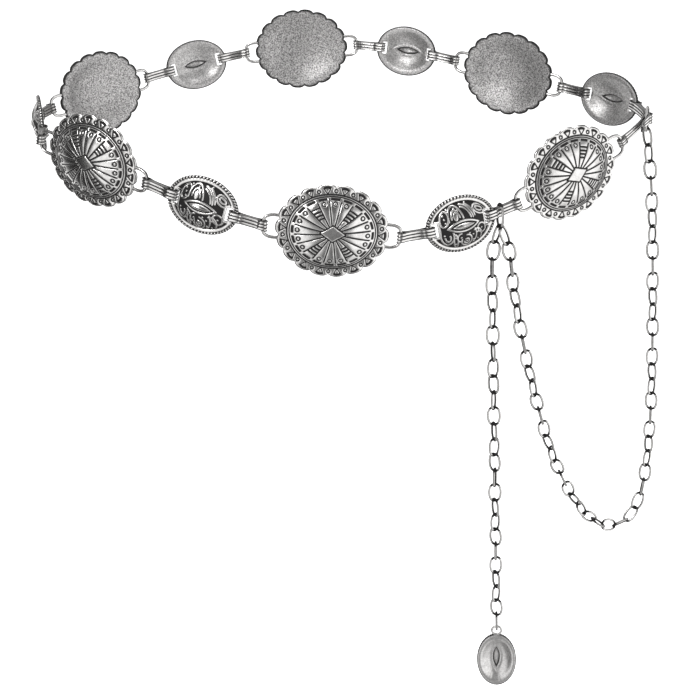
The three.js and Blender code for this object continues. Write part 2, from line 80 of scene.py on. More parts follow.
# Small concho, a roped oval with two slots, and the drop made like it.
SMALL_WIDE = 34.4
SMALL_HIGH = 26.4
SMALL_DOME = 4.2
SMALL_RIM = 1.4
SMALL_BACK = 0.7
SMALL_FLAT = 0.8
SLOT_INNER = 11.6
SLOT_OUTER = 14.1
SLOT_HALF_HIGH = 3.35
DROP_WIDE = 32.5
DROP_HIGH = 20.8
DROP_DOME = 3.6
DROP_RIM = 1.3
DROP_BACK = 0.65
DROP_RING_RADIUS = 2.5
DROP_RING_WIRE = 0.6
DROP_RING_ROOT = 0.4
DROP_RING_STEPS = 48
ALMOND_LONG = 7.6
ALMOND_WIDE = 2.5
ROPE_STRANDS = 62

# Domes fall off with this power of the way out.
DOME_POWER = 2.3

# How grained the inner sides are, 0 for polished and 1 for stippled all over.
LARGE_GRAIN = 1.0
SMALL_GRAIN = 0.75
DROP_GRAIN = 0.4

# Engraving and relief.
LINE = 0.5
CUT_DEEP = 0.26
MARKS_AT = 0.868
MARK_RING = 0.75
FAN_FOOT = 1.85
FAN_TIP = -1.45
FAN_SLOPE = 0.62
PANEL_RING_AT = 0.615
PANEL_RING = 0.88
RHOMBUS_WIDE = 6.0
RHOMBUS_HIGH = 3.9
RUNGS = (0.36, 0.43, 0.5, 0.57)
RELIEF_HIGH = 0.5
ROPE_AT = 0.915

# Rings of points on each side of a plate, as outer share of the way out, steps round and rings.
LARGE_ZONES = ((0.06, 20, 2), (0.12, 60, 3), (0.3, 240, 14), (0.5, 300, 14), (0.8, 400, 24), (1.0, 540, 20))
LARGE_BACK_ZONES = ((0.24, 60, 4), (0.76, 180, 12), (1.0, 540, 5))
ROPED_ZONES = ((0.08, 30, 2), (0.2, 90, 6), (0.45, 180, 15), (0.8, 320, 28), (1.0, 496, 13))
ROPED_BACK_ZONES = ((0.08, 30, 2), (0.2, 60, 4), (0.6, 144, 14), (1.0, 496, 5))

# Strips, and the end ring that the long chain hangs from.
SMALL_HINGE = 15.6
STRIP_HALF_HIGH = 2.2
RIBS = 3
RIB_STEPS = 24
GROOVE_DEEP = 0.34
RING_WIRE = 0.65
RING_LONG = 12.6
RING_WIDE = 8.0
HOOK_THICK = 1.1
HOOK_HALF_HIGH = 2.1
HOOK_GROOVE_DEEP = 0.26
FOLD_RADIUS = 1.5
CLEARANCE = 0.3
SLACK = 0.05

# Chain, marched with the solids' wire and drawn with the bolder wire that the photograph shows.
WIRE = 1.05
WIRE_SEEN = 1.2
LINK_WIDE = 6.9
CONTACT = 0.14
LINK_CROSS = WIRE - CONTACT
DRAPE_LINKS = 51
TAIL_LINKS = 26
FIRST_ROLL = 12
DRAPE_ROLL = -108
BAND_EXTRA = 2.1
BAND_OFFSET = 4.6
BAND_LIFT = 0.6
JOINT_SPREAD = 0.9
TAIL_ROLL = -(90 + FIRST_ROLL + 7 * 360) / (TAIL_LINKS - 2)
LINK_TURNS = 14
LINK_SQUARE = 0.84
LINK_SIDES = 12
LINK_LONG_RANGE = (1.3, 1.67)
LENGTH_TRIES = 18
REACHED = 0.02


def smooth(low, high, x):
    t = np.clip((x - low) / (high - low), 0, 1)
    return t * t * (3 - 2 * t)


def stroke(distance, width):
    """1 on a line of that width, falling to 0 beside it."""
    return 1 - smooth(0.3 * width, 0.8 * width, np.abs(distance))


def oval_place(x, z, wide, high):
    """Angle and share of the way out of points on an oval, and millimetres per share there."""
    angle = np.arctan2(z / (high / 2), x / (wide / 2))
    rho = np.hypot(x / (wide / 2), z / (high / 2))
    reach = np.where(rho < 1e-6, wide / 2, np.hypot(x, z) / np.maximum(rho, 1e-6))
    return angle, rho, reach


def polyline_distance(x, z, points):
    """Distance from each place to the nearest stretch of a line through the points."""
    best = np.full(x.shape, 1e9)
    for (ax, az), (bx, bz) in zip(points[:-1], points[1:]):
        dx, dz = bx - ax, bz - az
        t = np.clip(((x - ax) * dx + (z - az) * dz) / (dx * dx + dz * dz), 0, 1)
        best = np.minimum(best, np.hypot(x - ax - t * dx, z - az - t * dz))
    return best


def arc_points(cx, cz, rx, rz, start, end, tilt=0.0, steps=20):
    """Points on an arc of a tilted oval, with its angles in degrees."""
    c, s = math.cos(math.radians(tilt)), math.sin(math.radians(tilt))
    points = []
    for k in range(steps + 1):
        a = math.radians(start + (end - start) * k / steps)
        u, v = rx * math.cos(a), rz * math.sin(a)
        points.append((cx + u * c - v * s, cz + u * s + v * c))
    return points


def almond(x, z):
    """Signed distance to the pointed oval in the middle, below 0 inside."""
    radius = (ALMOND_LONG**2 + ALMOND_WIDE**2) / (2 * ALMOND_WIDE)
    offset = radius - ALMOND_WIDE
    return np.maximum(np.hypot(x, z + offset), np.hypot(x, z - offset)) - radius


def large_rise(rho):
    """Height of the large concho's dome and of the flange round it."""
    dome = FLANGE_RISE + (LARGE_DOME - FLANGE_RISE) * (1 - np.minimum(rho / FLANGE, 1) ** DOME_POWER)
    flange = FLANGE_RISE * (1 - (np.maximum(rho, FLANGE) - FLANGE) / (1 - FLANGE)) ** 0.9
    return np.where(rho < FLANGE, dome, flange)


def rhombus_distance(x, z):
    """Signed distance to the flat rhombus in the middle, below 0 inside."""
    steep = math.hypot(1 / RHOMBUS_WIDE, 1 / RHOMBUS_HIGH)
    return (np.abs(x) / RHOMBUS_WIDE + np.abs(z) / RHOMBUS_HIGH - 1) / steep


def large_ink(x, z):
    """Engraved lines of the large concho: 1 where the tool cut."""
    half_w, half_h = LARGE_WIDE / 2, LARGE_HIGH / 2
    angle, rho, reach = oval_place(x, z, LARGE_WIDE, LARGE_HIGH)
    outer_ring = stroke((rho - 0.795) * reach, 1.2 * LINE)
    inner_ring = stroke((rho - 0.755) * reach, 0.7 * LINE)
    ink = np.maximum(outer_ring, inner_ring)
    for i in range(SCALLOPS):
        for share, part in ((0.0, "fan"), (0.5, "ring")):
            a = 2 * math.pi * (i + share) / SCALLOPS
            cx, cz = half_w * MARKS_AT * math.cos(a), half_h * MARKS_AT * math.sin(a)
            n = Vector((math.cos(a) / half_w, math.sin(a) / half_h)).normalized()
            near = np.hypot(x - cx, z - cz) < 4
            u = (x[near] - cx) * n.x + (z[near] - cz) * n.y
            v = (z[near] - cz) * n.x - (x[near] - cx) * n.y
            if part == "fan":
                far = np.hypot(u - FAN_TIP, v) - (FAN_FOOT - FAN_TIP)
                beside = (np.abs(v) - FAN_SLOPE * (u - FAN_TIP)) / math.hypot(1, FAN_SLOPE)
                inside = np.maximum(far, beside)
                mark = np.maximum(stroke(inside, 0.9 * LINE), (inside < 0) * smooth(-0.95, -0.7, far))
            else:
                mark = stroke(np.hypot(u, v) - MARK_RING, LINE)
            ink[near] = np.maximum(ink[near], mark)
    pitch = 2 * math.pi / PANELS
    border = (np.round(angle / pitch - 0.5) + 0.5) * pitch
    dx, dz = half_w * np.cos(border), half_h * np.sin(border)
    off_border = np.abs(x * dz - z * dx) / np.hypot(dx, dz)
    rhombus = rhombus_distance(x, z)
    petals = (rhombus > 0) * (rho < 0.665)
    ink = np.maximum(ink, stroke(off_border, 1.15 * LINE) * petals)
    ink = np.maximum(ink, stroke(rhombus, 1.1 * LINE))
    panel = np.round(angle / pitch).astype(int) % PANELS
    turn = np.abs(angle / pitch - np.round(angle / pitch))
    dash = stroke((rho - 0.705) * reach, 1.9 * LINE) * (1 - smooth(0.33, 0.4, turn))
    ink = np.maximum(ink, dash)
    ladder = np.isin(panel, LADDER_PANELS)
    for rung in RUNGS:
        bar = stroke((rho - rung) * reach, 1.4 * LINE) * ladder
        ink = np.maximum(ink, bar)
    for k in range(PANELS):
        if k in LADDER_PANELS:
            continue
        cx = half_w * PANEL_RING_AT * math.cos(k * pitch)
        cz = half_h * PANEL_RING_AT * math.sin(k * pitch)
        ink = np.maximum(ink, stroke(np.hypot(x - cx, z - cz) - PANEL_RING, 0.9 * LINE))
    return ink


def large_front(x, z):
    """Height above the plain dish, and ink."""
    angle, rho, _ = oval_place(x, z, LARGE_WIDE, LARGE_HIGH)
    ink = large_ink(x, z)
    petal = np.abs(np.cos(PANELS * angle / 2)) * smooth(0.2, 0.45, rho) * (1 - smooth(0.62, 0.68, rho))
    lobe = np.abs(np.cos(SCALLOPS * angle / 2)) * smooth(0.8, 0.9, rho) * (1 - smooth(0.95, 1, rho))
    band = stroke((rho - 0.775) * 22, 1.0)
    table = smooth(0, 0.5, -rhombus_distance(x, z))
    return 0.12 * petal + 0.18 * lobe + 0.14 * band + 0.2 * table - CUT_DEEP * ink, ink


# Filigree of the small concho: arcs as centre, radii, start and end angle and tilt, in millimetres.
FILIGREE_ARCS = (
    (-3.0, 3.4, 3.5, 6.3, 0, 180, 4), (-3.0, 3.4, 2.0, 4.4, 10, 170, 4),
    (-0.6, 2.3, 5.9, 7.4, 5, 82, 0), (-0.6, 2.3, 4.9, 6.3, 8, 80, 0), (-0.6, 2.3, 7.0, 8.0, 8, 62, 0),
    (9.3, 5.4, 3.4, 1.9, 0, 360, -32), (9.1, 5.6, 1.8, 0.8, 0, 360, -32),
    (-8.4, 4.6, 1.9, 3.5, 0, 360, -16),
    (9.0, -3.6, 2.1, 2.6, 0, 360, 30), (6.2, -6.3, 2.6, 3.3, -80, 110, 10),
    (0.9, -7.6, 2.6, 2.9, -200, 90, 0), (0.9, -8.0, 1.2, 1.3, -180, 120, 0),
    (3.0, -5.2, 2.9, 4.6, -75, 60, 8), (-8.2, -3.2, 2.9, 4.8, -185, 15, 8),
    (-4.4, -6.9, 0.9, 3.7, 0, 360, 6), (-8.0, -4.2, 1.2, 2.3, -180, 0, 8),
    (-2.0, -5.6, 1.7, 2.1, 90, 300, -8),
)
FILIGREE_DOTS = (
    (-8.7, 6.3), (-8.4, 4.6), (-8.1, 2.9), (-4.7, 5.1), (-4.2, 7.3), (-2.9, 8.4), (-1.6, 7.3),
    (-1.2, 5.3), (-6.3, 8.6), (3.2, 10.1), (8.2, 9.0), (10.6, 3.0), (-9.4, -3.0), (-8.3, -6.0),
    (-7.0, -3.6), (-4.4, -5.2), (-4.4, -8.6), (0.9, -8.0), (2.3, -4.2), (4.2, -5.4), (4.5, -8.4),
    (6.6, -5.0), (6.9, -8.6), (9.0, -3.6), (8.8, -6.6), (-1.9, -10.6), (-11.2, 1.6), (-1.9, -5.6),
)


def filigree(x, z):
    """1 on the raised arcs, beads and flame of the small concho."""
    raised = np.zeros(x.shape)
    for arc in FILIGREE_ARCS:
        raised = np.maximum(raised, stroke(polyline_distance(x, z, arc_points(*arc)), 0.72))
    for cx, cz in FILIGREE_DOTS:
        raised = np.maximum(raised, 1 - smooth(0.3, 0.62, np.hypot(x - cx, z - cz)))
    flame = np.hypot((x + 3.0) / 0.9, (z - 4.9) / 1.7) - 1
    return np.maximum(raised, 1 - smooth(0, 0.4, flame))


def roped_front(wide, high, slots):
    """Relief of a roped oval: rope, plain band, filigree and the raised almond."""
    scale_x, scale_z = SMALL_WIDE / wide, SMALL_HIGH / high

    def front(x, z):
        angle, rho, reach = oval_place(x, z, wide, high)
        u, v = x * scale_x, z * scale_z
        raised = filigree(u, v) * (rho < 0.8)
        if slots:
            middle, half_wide = (SLOT_INNER + SLOT_OUTER) / 2, (SLOT_OUTER - SLOT_INNER) / 2
            end = np.maximum(np.abs(np.abs(x) - middle) - half_wide, np.abs(z) - SLOT_HALF_HIGH)
            raised = np.maximum(raised * (end > 0.5), stroke(end - 0.45, 0.9))
        raised = np.maximum(raised, stroke((rho - 0.865) * reach, 1.25))
        strand = 0.5 + 0.5 * np.cos(ROPE_STRANDS * angle + 16 * (rho - 0.96) * reach / 10)
        rope = smooth(ROPE_AT, ROPE_AT + 0.015, rho)
        raised = np.where(rho > ROPE_AT, rope * (0.15 + 0.85 * smooth(0.25, 0.7, strand)), raised)
        eye = almond(x, z)
        raised = np.where(eye < 0.75, stroke(eye + 0.05, 0.8), raised)
        boat = np.clip(-(eye + 1.0) / (ALMOND_WIDE - 1.0), 0, 1)
        raised = np.maximum(raised, smooth(0.0, 0.2, boat))
        round_rope = np.sqrt(np.clip(1 - ((rho - 0.958) / 0.045) ** 2, 0, 1))
        height = RELIEF_HIGH * (raised - 1) + 0.35 * rope * round_rope + 1.0 * boat
        return height, 1 - raised

    return front


def small_rise(dome):
    return lambda rho: dome * (1 - np.minimum(rho / SMALL_FLAT, 1) ** DOME_POWER)


def plain_back(x, z):
    return np.zeros(x.shape), np.zeros(x.shape)


def almond_back(x, z):
    """The imprint of the almond from behind, in a bright dish with faint rays, and painted shade in two
    dark crescents inside its hollow.
    """
    eye = almond(1.1 * x, 1.2 * z)
    boat = np.clip(-eye / ALMOND_WIDE, 0, 1)
    ridge = stroke(eye - 0.4, 1.4)
    rays = np.cos(46 * np.arctan2(z, x)) * smooth(1.5, 5, eye)
    # The second value is painted shade: dark crescents inside the rim of the hollow.
    return 0.3 * ridge - 1.1 * smooth(0, 0.9, boat) + 0.015 * rays, 0.55 * stroke(eye + 0.6, 0.9)


def plain_outline(angle):
    return np.ones(angle.shape)


def scalloped_outline(angle):
    lobe = np.abs(np.cos(SCALLOPS * angle / 2))
    return 1 - (1 - VALLEY) * (1 - lobe) ** 1.6


def stitch(a0, na, b0, nb, flip):
    """Faces between two closed rings of points: quads where they match, triangles where they don't."""
    made = []
    if na == nb:
        for k in range(na):
            m = (k + 1) % na
            made.append((a0 + k, b0 + k, b0 + m, a0 + m))
    else:
        i = j = 0
        while i < na or j < nb:
            if i < na and (j >= nb or (i + 1) / na <= (j + 1) / nb):
                made.append((a0 + i % na, b0 + j % nb, a0 + (i + 1) % na))
                i += 1
            else:
                made.append((a0 + i % na, b0 + j % nb, b0 + (j + 1) % nb))
                j += 1
    return [f[::-1] for f in made] if flip else made


def tube(path, radius, sides, side, closed=False):
    """Points and faces of a round wire along a path; side is square to the plane it bends in."""
    path = np.array(path, float)
    count = len(path)
    if closed:
        tangent = np.roll(path, -1, 0) - np.roll(path, 1, 0)
    else:
        tangent = np.gradient(path, axis=0)
    tangent /= np.linalg.norm(tangent, axis=1)[:, None]
    across = np.tile(np.array(side, float), (count, 1))
    inner = np.cross(tangent, across)
    inner /= np.linalg.norm(inner, axis=1)[:, None]
    a = 2 * math.pi * np.arange(sides) / sides
    ring = np.cos(a)[None, :, None] * inner[:, None] + np.sin(a)[None, :, None] * across[:, None]
    rings = path[:, None] + radius * ring
    faces = []
    for i in range(count if closed else count - 1):
        p, q = i * sides, ((i + 1) % count) * sides
        faces += [(p + k, p + (k + 1) % sides, q + (k + 1) % sides, q + k) for k in range(sides)]
    if not closed:
        faces.append(tuple(range(sides))[::-1])
        faces.append(tuple((count - 1) * sides + k for k in range(sides)))
    return rings.reshape(-1, 3), faces


def rounded(points, times, closed=False):
    """Cuts the corners of a path, again and again."""
    points = [np.array(p, float) for p in points]
    for _ in range(times):
        pairs = list(zip(points, points[1:] + points[:1])) if closed else list(zip(points[:-1], points[1:]))
        cut = [q for a, b in pairs for q in (0.75 * a + 0.25 * b, 0.25 * a + 0.75 * b)]
        points = cut if closed else [points[0]] + cut + [points[-1]]
    return points


class Build:
    """Collects points, faces and the numbers that the material reads."""

    def __init__(self):
        self.points, self.faces, self.ink, self.back, self.count = [], [], [], [], 0

    def add(self, points, faces, ink=0.0, back=0.0):
        self.points.append(np.array(points, float))
        self.faces += [tuple(i + self.count for i in f) for f in faces]
        n = len(points)
        self.ink.append(np.broadcast_to(ink, n).astype(float))
        self.back.append(np.broadcast_to(back, n).astype(float))
        self.count += n

    def mesh(self, name):
        mesh = bpy.data.meshes.new(name)
        mesh.from_pydata((np.concatenate(self.points) * MM).tolist(), [], self.faces)
        for label, values in (("oxide_and_shade", self.ink), ("inner", self.back)):
            layer = mesh.attributes.new(label, "FLOAT", "POINT")
            layer.data.foreach_set("value", np.concatenate(values).astype(np.float32))
        mesh.validate()
        mesh.shade_smooth()
        return mesh


def frame_of(node, back):
    """Place and axes of a concho from its CAD node: long axis, inward, up, in metres."""
    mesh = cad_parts[node].data
    mesh.calc_loop_triangles()
    co = np.array([v.co for v in mesh.vertices], float)
    tri = co[np.array([t.vertices for t in mesh.loop_triangles])]
    area = np.linalg.norm(np.cross(tri[:, 1] - tri[:, 0], tri[:, 2] - tri[:, 0]), axis=1) / 2
    centre = (tri.mean(1) * area[:, None]).sum(0) / area.sum()
    tri = tri - centre
    total = tri.sum(1)
    spread = np.einsum("n,nij,nik->jk", area, tri, tri) + np.einsum("n,nj,nk->jk", area, total, total)
    _, axes = np.linalg.eigh(spread)
    y, z, x = axes[:, 0], axes[:, 1], axes[:, 2]
    along = (co - centre) @ y
    if along.max() > -along.min():
        y = -y
    if node == "drop_concho":
        x = x if x[2] > 0 else -x
        z = np.cross(x, y)
    else:
        z = z if z[2] > 0 else -z
        x = np.cross(y, z)
    local = (co - centre) @ np.stack([x, y, z], 1)
    low, high = local.min(0), local.max(0)
    middle = (low + high) / 2
    middle[1] = high[1] - back * MM
    if node == "drop_concho":
        middle[0] = low[0] + DROP_WIDE / 2 * MM
    origin = centre + np.stack([x, y, z], 1) @ middle
    return Matrix((
        (x[0], y[0], z[0], origin[0]),
        (x[1], y[1], z[1], origin[1]),
        (x[2], y[2], z[2], origin[2]),
        (0, 0, 0, 1),
    ))


def show(name, mesh, matrix, body, nodes, material):
    """Places a finished piece, on its body and in the place of its nodes."""
    piece = bpy.data.objects.new(name, mesh)
    bpy.context.scene.collection.objects.link(piece)
    piece.matrix_world = matrix
    if not mesh.materials:
        mesh.materials.append(material)
    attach(piece, body)
    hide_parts(*nodes)
    return piece


class Nodes:
    """Short calls for building a material's nodes."""

    def __init__(self, name):
        self.material = bpy.data.materials.new(name)
        self.material.use_nodes = True
        self.tree = self.material.node_tree
        self.shader = self.tree.nodes["Principled BSDF"]

    def new(self, kind, **values):
        node = self.tree.nodes.new(kind)
        for key, value in values.items():
            if hasattr(node, key):
                setattr(node, key, value)
            else:
                node.inputs[key.replace("_", " ")].default_value = value
        return node

    def link(self, a, output, b, socket):
        self.tree.links.new(a.outputs[output], b.inputs[socket])

    def attribute(self, name):
        return self.new("ShaderNodeAttribute", attribute_name=name, attribute_type="GEOMETRY")

    def noise(self, scale, detail=2.0, rough=0.5):
        node = self.new("ShaderNodeTexNoise")
        node.inputs["Scale"].default_value = scale
        node.inputs["Detail"].default_value = detail
        node.inputs["Roughness"].default_value = rough
        where = self.new("ShaderNodeTexCoord")
        self.link(where, "Object", node, "Vector")
        return node

    def ramp(self, low, high, low_colour, high_colour):
        node = self.new("ShaderNodeValToRGB")
        node.color_ramp.elements[0].position = low
        node.color_ramp.elements[1].position = high
        node.color_ramp.elements[0].color = (*low_colour, 1)
        node.color_ramp.elements[1].color = (*high_colour, 1)
        return node

    def mix(self, factor, a, b):
        """Colour mix; each of factor, a and b is a (node, output) pair or a plain value."""
        node = self.new("ShaderNodeMix", data_type="RGBA")
        for value, socket in ((factor, 0), (a, 6), (b, 7)):
            if isinstance(value, tuple) and not isinstance(value[0], float):
                self.tree.links.new(value[0].outputs[value[1]], node.inputs[socket])
            elif socket == 0:
                node.inputs[0].default_value = value
            else:
                node.inputs[socket].default_value = (*value, 1)
        return node

    def maths(self, operation, a, b):
        node = self.new("ShaderNodeMath", operation=operation)
        for i, value in enumerate((a, b)):
            if isinstance(value, tuple):
                self.tree.links.new(value[0].outputs[value[1]], node.inputs[i])
            else:
                node.inputs[i].default_value = value
        return node


# Metal: noise scales per metre, colours, and what the oxidised black with its painted shade, and grain, add
# to dullness and roughness.
CLOUD_SCALE = 260
SPECK_SCALE = 1500
GRAIN_SCALE = 2600
# Black of the oxidised cuts, also used for painted shade on back rims, wire edges, rib grooves and the
# almond hollow.
OXIDE_AND_SHADE_BLACK = (0.008, 0.0075, 0.0075)
SPECK_DARK = (0.15, 0.145, 0.145)
SPECK_BRIGHT = (0.64, 0.63, 0.625)
OXIDE_DULL = 0.8
OXIDE_ROUGH = 0.4
INNER_DULL = 0.28
INNER_ROUGH = 0.24
GRAIN_ROUGH = 0.1
BUMP_STRENGTH = 0.4
BUMP_HIGH = 0.0001
GRAIN_BUMP = 0.35
SPECK_BUMP = 2.4


def antique_silver(name, bright, tarnish, polish):
    """Silver-toned cast metal: bright high places, black in oxidised cuts and painted shade on rims, wire
    edges, grooves and hollows, grained on the inner side.
    """
    n = Nodes(name)
    oxide_and_shade = n.attribute("oxide_and_shade")
    inner = n.attribute("inner")
    cloud = n.noise(CLOUD_SCALE, 4, 0.6)
    grain = n.noise(GRAIN_SCALE, 2, 0.5)
    speck = n.noise(SPECK_SCALE, 3, 0.65)
    clouds = n.ramp(0.3, 0.75, tarnish, bright)
    n.link(cloud, "Fac", clouds, "Fac")
    specks = n.ramp(0.4, 0.6, SPECK_DARK, SPECK_BRIGHT)
    n.link(speck, "Fac", specks, "Fac")
    side = n.mix((inner, "Fac"), (clouds, "Color"), (specks, "Color"))
    # Mask of that black: oxidised cuts, and painted shade on rims, wire edges, grooves and hollows.
    cut = n.ramp(0.16, 0.55, (0, 0, 0), (1, 1, 1))
    n.link(oxide_and_shade, "Fac", cut, "Fac")
    face = n.mix((cut, "Color"), (side, 2), OXIDE_AND_SHADE_BLACK)
    n.link(face, 2, n.shader, "Base Color")
    cut_dull = n.maths("MULTIPLY", (cut, "Color"), OXIDE_DULL)
    dull = n.maths("MULTIPLY_ADD", (inner, "Fac"), INNER_DULL)
    n.link(cut_dull, 0, dull, 2)
    metal_left = n.maths("SUBTRACT", 1.0, (dull, 0))
    n.link(metal_left, 0, n.shader, "Metallic")
    satin = n.maths("MULTIPLY", (inner, "Fac"), INNER_ROUGH)
    base_rough = n.maths("MULTIPLY_ADD", (grain, "Fac"), GRAIN_ROUGH)
    base_rough.inputs[2].default_value = polish
    with_satin = n.maths("ADD", (base_rough, 0), (satin, 0))
    with_cut = n.maths("MULTIPLY_ADD", (cut, "Color"), OXIDE_ROUGH)
    n.link(with_satin, 0, with_cut, 2)
    n.link(with_cut, 0, n.shader, "Roughness")
    bump = n.new("ShaderNodeBump")
    bump.inputs["Strength"].default_value = BUMP_STRENGTH
    bump.inputs["Distance"].default_value = BUMP_HIGH
    fine = n.maths("MULTIPLY", (grain, "Fac"), GRAIN_BUMP)
    coarse = n.maths("MULTIPLY", (speck, "Fac"), (inner, "Fac"))
    stipple = n.maths("MULTIPLY_ADD", (coarse, 0), SPECK_BUMP)
    n.link(fine, 0, stipple, 2)
    n.link(stipple, 0, bump, "Height")
    n.link(bump, "Normal", n.shader, "Normal")
    return n.material


# Soft panels and gaps all round, which the metal mirrors: brightness by degrees, 0 at -Y and 90 at +X.
BANDS = (
    (-180, 0.3), (-165, 0.3), (-150, 1.2), (-113, 1.2), (-101, 0.08), (-78, 0.02), (-62, 0.02),
    (-50, 1.2), (-22, 1.2), (-8, 0.4), (8, 0.25), (22, 0.15), (32, 1.4), (96, 1.4), (112, 0.6),
    (130, 0.06), (140, 0.06), (152, 1.1), (168, 1.1), (180, 0.3),
)

# Share of that by height, as the sine of the elevation: flags overhead, then a softbox at the top.
HEIGHTS = ((-1.0, 0.5), (-0.5, 1.0), (0.3, 1.0), (0.5, 0.3), (0.75, 0.3), (0.9, 1.1))
SURROUND_STRENGTH = 1.0

# Floor and backdrop, in metres.
FLOOR_GLOW = 1.0
FLOOR_HALF = 30.0
FLOOR_DROP = 0.16
WALL_RADIUS = 12.0
WALL_HIGH = 10.0
WALL_SUNK = 0.1


def fill_ramp(node, stops, low, high):
    """Puts (place, brightness) stops on a colour ramp that runs from low to high."""
    elements = node.color_ramp.elements
    while len(elements) < len(stops):
        elements.new(0.5)
    for element, (place, value) in zip(elements, stops):
        element.position = (place - low) / (high - low)
        element.color = (value, value, value, 1)


def surround():
    """A world of soft panels: brightness by direction round the belt, times brightness by height."""
    world = bpy.data.worlds.new("studio")
    bpy.context.scene.world = world
    world.use_nodes = True
    tree = world.node_tree
    where = tree.nodes.new("ShaderNodeTexCoord")
    split = tree.nodes.new("ShaderNodeSeparateXYZ")
    tree.links.new(where.outputs["Generated"], split.inputs[0])
    forward = tree.nodes.new("ShaderNodeMath")
    forward.operation = "MULTIPLY"
    forward.inputs[1].default_value = -1.0
    tree.links.new(split.outputs["Y"], forward.inputs[0])
    turn = tree.nodes.new("ShaderNodeMath")
    turn.operation = "ARCTAN2"
    tree.links.new(split.outputs["X"], turn.inputs[0])
    tree.links.new(forward.outputs[0], turn.inputs[1])
    factors = []
    for source, output, reach, stops, span in (
        (turn, 0, math.pi, BANDS, 180), (split, "Z", 1.0, HEIGHTS, 1.0),
    ):
        spread = tree.nodes.new("ShaderNodeMapRange")
        spread.inputs["From Min"].default_value = -reach
        spread.inputs["From Max"].default_value = reach
        tree.links.new(source.outputs[output], spread.inputs["Value"])
        ramp = tree.nodes.new("ShaderNodeValToRGB")
        fill_ramp(ramp, stops, -span, span)
        tree.links.new(spread.outputs["Result"], ramp.inputs["Fac"])
        factors.append(ramp)
    both = tree.nodes.new("ShaderNodeMath")
    both.operation = "MULTIPLY"
    for i, ramp in enumerate(factors):
        tree.links.new(ramp.outputs["Color"], both.inputs[i])
    back = tree.nodes["Background"]
    back.inputs["Strength"].default_value = SURROUND_STRENGTH
    tree.links.new(both.outputs[0], back.inputs["Color"])


# Soft lights: name, place, size, power and the place that they look at.
LAMPS = (
    ("key", (-0.55, -0.85, 0.75), 0.4, 5.0, (0, 0, -0.02)),
    ("top", (0.0, 0.1, 1.2), 0.7, 6.0, (0, 0, 0)),
)


def pale_paint():
    paint = Nodes("floor_pale")
    mottle = paint.noise(3, 2, 0.5)
    pale = paint.ramp(0.3, 0.7, (0.9, 0.9, 0.9), (0.93, 0.93, 0.93))
    paint.link(mottle, "Fac", pale, "Fac")
    paint.link(pale, "Color", paint.shader, "Base Color")
    paint.link(pale, "Color", paint.shader, "Emission Color")
    paint.shader.inputs["Emission Strength"].default_value = FLOOR_GLOW
    paint.shader.inputs["Roughness"].default_value = 0.9
    return paint.material


def floor_and_backdrop():
    """A plain pale floor that the metal doesn't mirror, and a round wall that only a camera sees."""
    low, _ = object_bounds()
    level = low.z - FLOOR_DROP
    paint = pale_paint()
    mesh = bpy.data.meshes.new("floor")
    corners = [(x * FLOOR_HALF, y * FLOOR_HALF, 0) for x, y in ((-1, -1), (1, -1), (1, 1), (-1, 1))]
    mesh.from_pydata(corners, [], [(0, 1, 2, 3)])
    floor = bpy.data.objects.new("floor", mesh)
    floor.location = (0, 0, level)
    bm = bmesh.new()
    bmesh.ops.create_cone(
        bm, cap_ends=False, segments=64, radius1=WALL_RADIUS, radius2=WALL_RADIUS, depth=WALL_HIGH,
    )
    wall_mesh = bpy.data.meshes.new("backdrop")
    bm.to_mesh(wall_mesh)
    bm.free()
    wall = bpy.data.objects.new("backdrop", wall_mesh)
    wall.location = (0, 0, level + WALL_HIGH / 2 - WALL_SUNK)
    wall.visible_diffuse = False
    wall.visible_shadow = False
    for piece in (floor, wall):
        piece.data.materials.append(paint)
        piece.visible_glossy = False
        bpy.context.scene.collection.objects.link(piece)
        piece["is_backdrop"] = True


def studio():
    """Floor, backdrop, mirrored surround and two soft lights."""
    floor_and_backdrop()
    surround()
    bpy.context.scene.view_settings.view_transform = "Standard"
    for name, at, size, power, aim in LAMPS:
        light = bpy.data.lights.new(name, "AREA")
        light.size = size
        light.energy = power
        lamp = bpy.data.objects.new(name, light)
        lamp.location = at
        lamp.rotation_euler = (Vector(aim) - Vector(at)).to_track_quat("-Z", "Y").to_euler()
        bpy.context.scene.collection.objects.link(lamp)


def camera():
    """The camera of the photograph, from its place, pitch, yaw and roll."""
    data = bpy.data.cameras.new("camera")
    data.sensor_width = SENSOR
    data.lens = FOCAL_PIXELS / FRAME_PIXELS * SENSOR
    data.clip_start, data.clip_end = 0.01, 20
    eye = bpy.data.objects.new("camera", data)
    cp, sp = math.cos(CAMERA_PITCH), math.sin(CAMERA_PITCH)
    cy, sy = math.cos(CAMERA_YAW), math.sin(CAMERA_YAW)
    forward = Vector((-sy * cp, cy * cp, sp))
    level = forward.cross(Vector((0, 0, 1))).normalized()
    upright = level.cross(forward)
    cr, sr = math.cos(CAMERA_ROLL), math.sin(CAMERA_ROLL)
    right = level * cr + upright * sr
    above = upright * cr - level * sr
    eye.matrix_world = Matrix((
        (right.x, above.x, -forward.x, CAMERA_AT[0] * MM),
        (right.y, above.y, -forward.y, CAMERA_AT[1] * MM),
        (right.z, above.z, -forward.z, CAMERA_AT[2] * MM),
        (0, 0, 0, 1),
    ))
    bpy.context.scene.collection.objects.link(eye)
    bpy.context.scene.camera = eye


